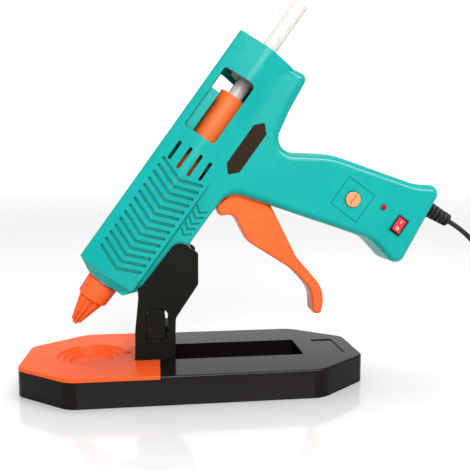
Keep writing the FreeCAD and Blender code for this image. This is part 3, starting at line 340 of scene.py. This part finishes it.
# ---------------------------------------------------------------- stage and camera
def make_stage():
    scene = bpy.context.scene
    scene.view_settings.view_transform = "Standard"
    camera_data = bpy.data.cameras.new("camera")
    camera_data.sensor_width = SENSOR_WIDTH
    camera_data.lens = CAMERA_LENS
    camera = bpy.data.objects.new("camera", camera_data)
    camera.location = CAMERA_PLACE
    camera.rotation_euler = [math.radians(turn) for turn in CAMERA_TURN]
    scene.collection.objects.link(camera)
    scene.camera = camera

    world = bpy.data.worlds.new("studio")
    world.use_nodes = True
    tree = world.node_tree
    back = tree.nodes["Background"]
    coords = tree.nodes.new("ShaderNodeTexCoord")
    split = tree.nodes.new("ShaderNodeSeparateXYZ")
    tree.links.new(coords.outputs["Generated"], split.inputs["Vector"])
    behind = remap(tree, split.outputs["Y"], 0.0, 1.0, -0.25, 0.30)
    wall = mixed(tree, behind, WALL_FRONT, WALL_BACK)
    overhead = remap(tree, split.outputs["Z"], 0.0, 1.0, 0.30, 0.75)
    tree.links.new(mixed(tree, overhead, wall, CEILING), back.inputs["Color"])
    back.inputs["Strength"].default_value = WORLD_STRENGTH
    scene.world = world

    bm = bmesh.new()
    bmesh.ops.create_grid(bm, x_segments=4, y_segments=4, size=FLOOR_HALF)
    mesh = bpy.data.meshes.new("floor")
    bm.to_mesh(mesh)
    bm.free()
    floor = bpy.data.objects.new("floor", mesh)
    scene.collection.objects.link(floor)
    pale = plastic("pale floor", (0.76, 0.76, 0.765), rough=0.09, ior=1.6, grain=0.0, tone=0.01,
                   edge=0)
    mesh.materials.append(pale)

    for name, place, target, size, power in LIGHTS:
        light = area_light(name, place, target, size, power)
        light.visible_diffuse = name not in GLOSSY_ONLY


def area_light(name, place, target, size, power):
    data = bpy.data.lights.new(name, "AREA")
    data.shape = "RECTANGLE"
    data.size, data.size_y = size
    data.energy = power
    light = bpy.data.objects.new(name, data)
    light.location = place
    aim = Vector(target) - Vector(place)
    light.rotation_euler = aim.to_track_quat("-Z", "Y").to_euler()
    bpy.context.scene.collection.objects.link(light)
    return light


# ---------------------------------------------------------------- cord
def relief_direction():
    return Vector((math.cos(RELIEF_ANGLE), 0.0, math.sin(RELIEF_ANGLE)))


# Slots that the coil's turns fill, as (turns out from the inside, turns up from the floor).
COIL_SLOTS = ((2, 0), (1, 0), (0, 0), (0, 1), (0, 2), (0, 3), (1, 3), (2, 3), (2, 2), (1, 2),
              (1, 1), (2, 1))
STEPS_PER_TURN = 18
SPACING = 3.72 * MM
CHANGE_START = 45.0         # degrees round the coil where the last change of slot begins
CHANGE_GAP = 24.0
CHANGE_WIDTH = 42.0


def coil_points():
    """Control points of the wound turns, clockwise from the coil's +Y side."""
    spread = 1.0 / math.cos(math.pi / STEPS_PER_TURN)
    last = len(COIL_SLOTS) - 1
    total = STEPS_PER_TURN * last + STEPS_PER_TURN // 4
    points = []
    for step in range(1, total + 1):
        turn = min(step // STEPS_PER_TURN, last)
        degrees = (step % STEPS_PER_TURN) * 360.0 / STEPS_PER_TURN
        out, up = COIL_SLOTS[turn]
        if turn < last:
            start = CHANGE_START + (last - 1 - turn) * CHANGE_GAP
            share = min(1.0, max(0.0, (degrees - start) / CHANGE_WIDTH))
            share = share * share * (3 - 2 * share)
            next_out, next_up = COIL_SLOTS[turn + 1]
            out += (next_out - out) * share
            up += (next_up - up) * share
        radius = (COIL_R + (out - 1) * SPACING) * spread
        angle = math.radians(90.0 - degrees)
        points.append(COIL_CENTRE + Vector((radius * math.cos(angle), radius * math.sin(angle),
                                            CORD_D / 2 + up * SPACING)))
    return points


def make_cord():
    end = RELIEF_ROOT + relief_direction() * RELIEF_LENGTH
    hanging = [
        end,
        end + relief_direction() * 0.018,
        Vector((0.2185, 0.0015, 0.082)),
        Vector((0.2255, 0.004, 0.054)),
        Vector((0.2295, 0.0075, 0.032)),
        Vector((0.2340, 0.0115, 0.017)),
        Vector((0.2420, 0.0145, 0.0065)),
        Vector((0.2530, 0.0150, 0.0022)),
    ]
    lead = [
        Vector((0.2846, -0.0175, 0.0056)),
        Vector((0.2837, -0.0260, 0.0054)),
        Vector((0.2828, -0.0335, 0.0050)),
        Vector((0.2826, -0.0390, 0.0049)),
    ]
    points = hanging + coil_points() + lead
    data = bpy.data.curves.new("mains_cord", "CURVE")
    data.dimensions = "3D"
    spline = data.splines.new("NURBS")
    spline.points.add(len(points) - 1)
    for index, point in enumerate(points):
        spline.points[index].co = (*point, 1.0)
    spline.order_u = 3
    spline.use_endpoint_u = True
    spline.resolution_u = 6
    data.bevel_depth = CORD_D / 2
    data.bevel_resolution = 6
    data.use_fill_caps = True
    cord = bpy.data.objects.new("mains_cord", data)
    bpy.context.scene.collection.objects.link(cord)
    data.materials.append(MATERIALS["cord_black"])
    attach(cord, "gun")
    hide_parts("power_cord", "cord_coil", "plug_lead")
    return cord, end


def make_relief():
    """Ribbed boot: rings on a tapering core, joined by blocks that alternate from gap to gap."""
    ahead = relief_direction()
    turn = Vector((1, 0, 0)).rotation_difference(ahead).to_matrix().to_4x4()
    place = Matrix.Translation(RELIEF_ROOT) @ turn
    rings = 6
    pitch = 3.6
    first = 0.4
    profile = [(-5.5, 0.0), (-5.5, 4.2), (0.3, 4.2)]
    for index in range(rings):
        x = first + pitch * index
        outer = 5.9 - 0.22 * index
        profile += [(x, 3.5), (x + 0.05, outer - 0.4), (x + 0.45, outer), (x + 1.95, outer),
                    (x + 2.35, outer - 0.4), (x + 2.4, 3.4)]
    profile = profile[:-1] + [(21.2, 3.4), (21.8, 2.4), (22.0, 1.7), (22.0, 0.0)]
    bm = lathe(profile, 48, place)
    for index in range(rings - 1):
        x = first + pitch * index + 2.2
        for quarter in (0, 2):
            angle = math.radians(45 + 90 * ((index % 2) + quarter))
            spin = Matrix.Rotation(angle, 4, "X")
            made = bmesh.ops.create_cube(bm, size=1.0)["verts"]
            block = Matrix.Translation(Vector((x + 0.8, 0, 4.0)) * MM)
            size = Matrix.Diagonal((1.9 * MM, 3.4 * MM, 1.5 * MM, 1.0))
            bmesh.ops.transform(bm, matrix=place @ spin @ block @ size, verts=made)
    relief = new_piece("boot", bm, "cord_black", "gun", ("strain_relief",))
    smooth(relief.data, 38.0)
    return relief


def make_tie():
    """Flat strap round the coil's near side."""
    half = 3 * SPACING / 2 + 0.35 * MM
    height = 4 * SPACING + 0.25 * MM
    centre = COIL_CENTRE + Vector((0.0, -COIL_R, height / 2))
    thick = 1.0 * MM
    bm = bmesh.new()
    loops = []
    corner = 2.2 * MM
    outline = []
    for sign_y, sign_z, start in ((1, 1, 0), (-1, 1, 90), (-1, -1, 180), (1, -1, 270)):
        for step in range(5):
            angle = math.radians(start + 22.5 * step)
            outline.append((sign_y * (half - corner), sign_z * (height / 2 - corner), angle))
    side = 2.1 * MM
    for x, grow in ((-side, 0.0), (side, 0.0), (side, thick), (-side, thick)):
        loop = []
        for y, z, angle in outline:
            reach = corner + grow
            point = centre + Vector((x, y + reach * math.cos(angle), z + reach * math.sin(angle)))
            point.z = max(point.z, 0.0001)
            loop.append(bm.verts.new(point))
        loops.append(loop)
    join_loops(bm, loops)
    bmesh.ops.recalc_face_normals(bm, faces=bm.faces)
    tie = new_piece("tie_strap", bm, "cord_black", "gun", ("cord_tie",))
    smooth(tie.data, 40.0)
    return tie


# ---------------------------------------------------------------- nozzle cover and glue stick
def make_nozzle_cover():
    """Silicone cone with eight ribs that run on past the end as short prongs."""
    ribs = 8

    cone_start = -14.0
    cone_length = 17.9

    def rise(x, r, angle):
        if x > cone_start + 0.1 or r < 2.2:
            return 0.0
        along = (cone_start + 0.1 - x) / 19.0
        valley = (0.5 - 0.5 * math.cos(ribs * angle)) ** 1.5
        height = 1.9 * (1 - along) + 1.25 * along
        return height * (1 - valley)

    profile = [(1.2, 6.65), (1.2, 10.6), (0.8, 11.1), (0.0, 11.3), (-11.6, 10.75),
               (-12.5, 10.55), (-13.1, 10.1), (-13.4, 9.2), (-13.5, 8.0)]
    cone_steps = 22
    for step in range(cone_steps + 1):
        share = step / cone_steps
        profile.append((cone_start - cone_length * share, 6.95 - 4.5 * share))
    profile += [(-32.6, 2.35), (-33.0, 2.15), (-31.0, 2.12), (-13.0, 6.65)]
    bm = lathe(profile, 128, GUN, rise)
    cover = new_piece("cone_cover", bm, "silicone_orange", "gun", ("nozzle_cover",))
    smooth(cover.data, 50.0)
    return cover


def make_stick():
    """Moulded stick with slightly rounded ends, a little uneven along its length."""
    def uneven(x, r, angle):
        return 0.05 * math.sin(x * 0.33 + 2 * angle) if r > 5 else 0.0

    profile = [(42.0, 0.0), (42.0, 4.9), (42.4, 5.45)]
    steps = 39
    for step in range(steps + 1):
        profile.append((43.0 + step * 193.0 / steps, 5.55))
    profile += [(236.6, 5.35), (236.9, 4.9), (236.9, 2.0), (236.7, 0.0)]
    bm = lathe(profile, 48, GUN, uneven)
    stick = new_piece("stick", bm, "glue", "stick", ("glue_stick",))
    smooth(stick.data, 40.0)
    return stick


# ---------------------------------------------------------------- switch marks
MARK_OUT = 2.6              # mm, from the rocker's middle to each mark
MARK_DEPTH = 0.12
BAR_SIZE = (2.2, MARK_DEPTH, 0.5)
RING_RADII = (0.8, 1.2)
RING_STEPS = 24


def bar(bm):
    made = bmesh.ops.create_cube(bm, size=1.0)["verts"]
    bmesh.ops.scale(bm, vec=Vector(BAR_SIZE) * MM, verts=made)


def ring_mark(bm):
    inner, outer = RING_RADII
    half = MARK_DEPTH / 2
    rings = []
    for radius, depth in ((inner, -half), (inner, half), (outer, half), (outer, -half)):
        ring = []
        for step in range(RING_STEPS):
            angle = 2 * math.pi * step / RING_STEPS
            point = Vector((radius * math.cos(angle), depth, radius * math.sin(angle)))
            ring.append(bm.verts.new(point * MM))
        rings.append(ring)
    join_loops(bm, rings)


def make_marks():
    """The I and O of the switch, standing a little proud of the rocker's two faces."""
    su, sv = SWITCH_UV
    rocker = GUN @ (Matrix.Translation(Vector((su, ROCKER_Y, sv)) * MM)
                    @ Matrix.Rotation(ROCKER_TILT, 4, "Z")
                    @ Matrix.Translation(Vector((-su, -ROCKER_Y, -sv)) * MM))
    lean = math.atan2(ROCKER_DIP, ROCKER_HALF)
    face_y = -GRIP_HALF - 0.3 - ROCKER_DIP * MARK_OUT / ROCKER_HALF
    for name, side, draw in (("mark_on", 1, bar), ("mark_off", -1, ring_mark)):
        bm = bmesh.new()
        draw(bm)
        seat = Matrix.Translation(Vector((su + side * MARK_OUT, face_y, sv)) * MM)
        tilt = Matrix.Rotation(-side * lean, 4, "Z")
        bmesh.ops.transform(bm, matrix=rocker @ seat @ tilt, verts=bm.verts)
        bmesh.ops.recalc_face_normals(bm, faces=bm.faces)
        mark = new_piece(name, bm, "mark_white", "rocker")


# ---------------------------------------------------------------- build
make_stage()
dress_nodes()
cord, cord_exit = make_cord()
boot = make_relief()
tie = make_tie()
cover = make_nozzle_cover()
stick = make_stick()
make_marks()
BODY_OF = {name: body for body, names in frame["record"]["behaviour"]["bodies"].items()
           for name in names}
ROUNDED = {                 # CAD nodes shown with rounded edges, and the rounding in mm
    "base_shell": 0.35, "drip_tray": 0.0, "bracket_socket": 0.4, "support_bracket": 0.4,
    "latch_left": 0.3, "latch_right": 0.3, "side_plate_left": 0.2, "side_plate_right": 0.2,
    "switch_body": 0.2, "switch_rocker": 0.25, "plug_body": 0.0, "plug_pins": 0.2,
    "temperature_dial": 0.0, "trigger": 0.0, "left_housing": 0.0, "right_housing": 0.0,
    "nozzle": 0.0, "nozzle_ring": 0.2, "inlet_sleeve": 0.0, "indicator_led": 0.0,
    "rear_guide": 0.2,
}
for part, rounding in ROUNDED.items():
    refined(part + "_skin", part, BODY_OF[part], rounding)
bpy.data.objects["inlet_sleeve_skin"].data.materials[0] = MATERIALS["sleeve_orange"]
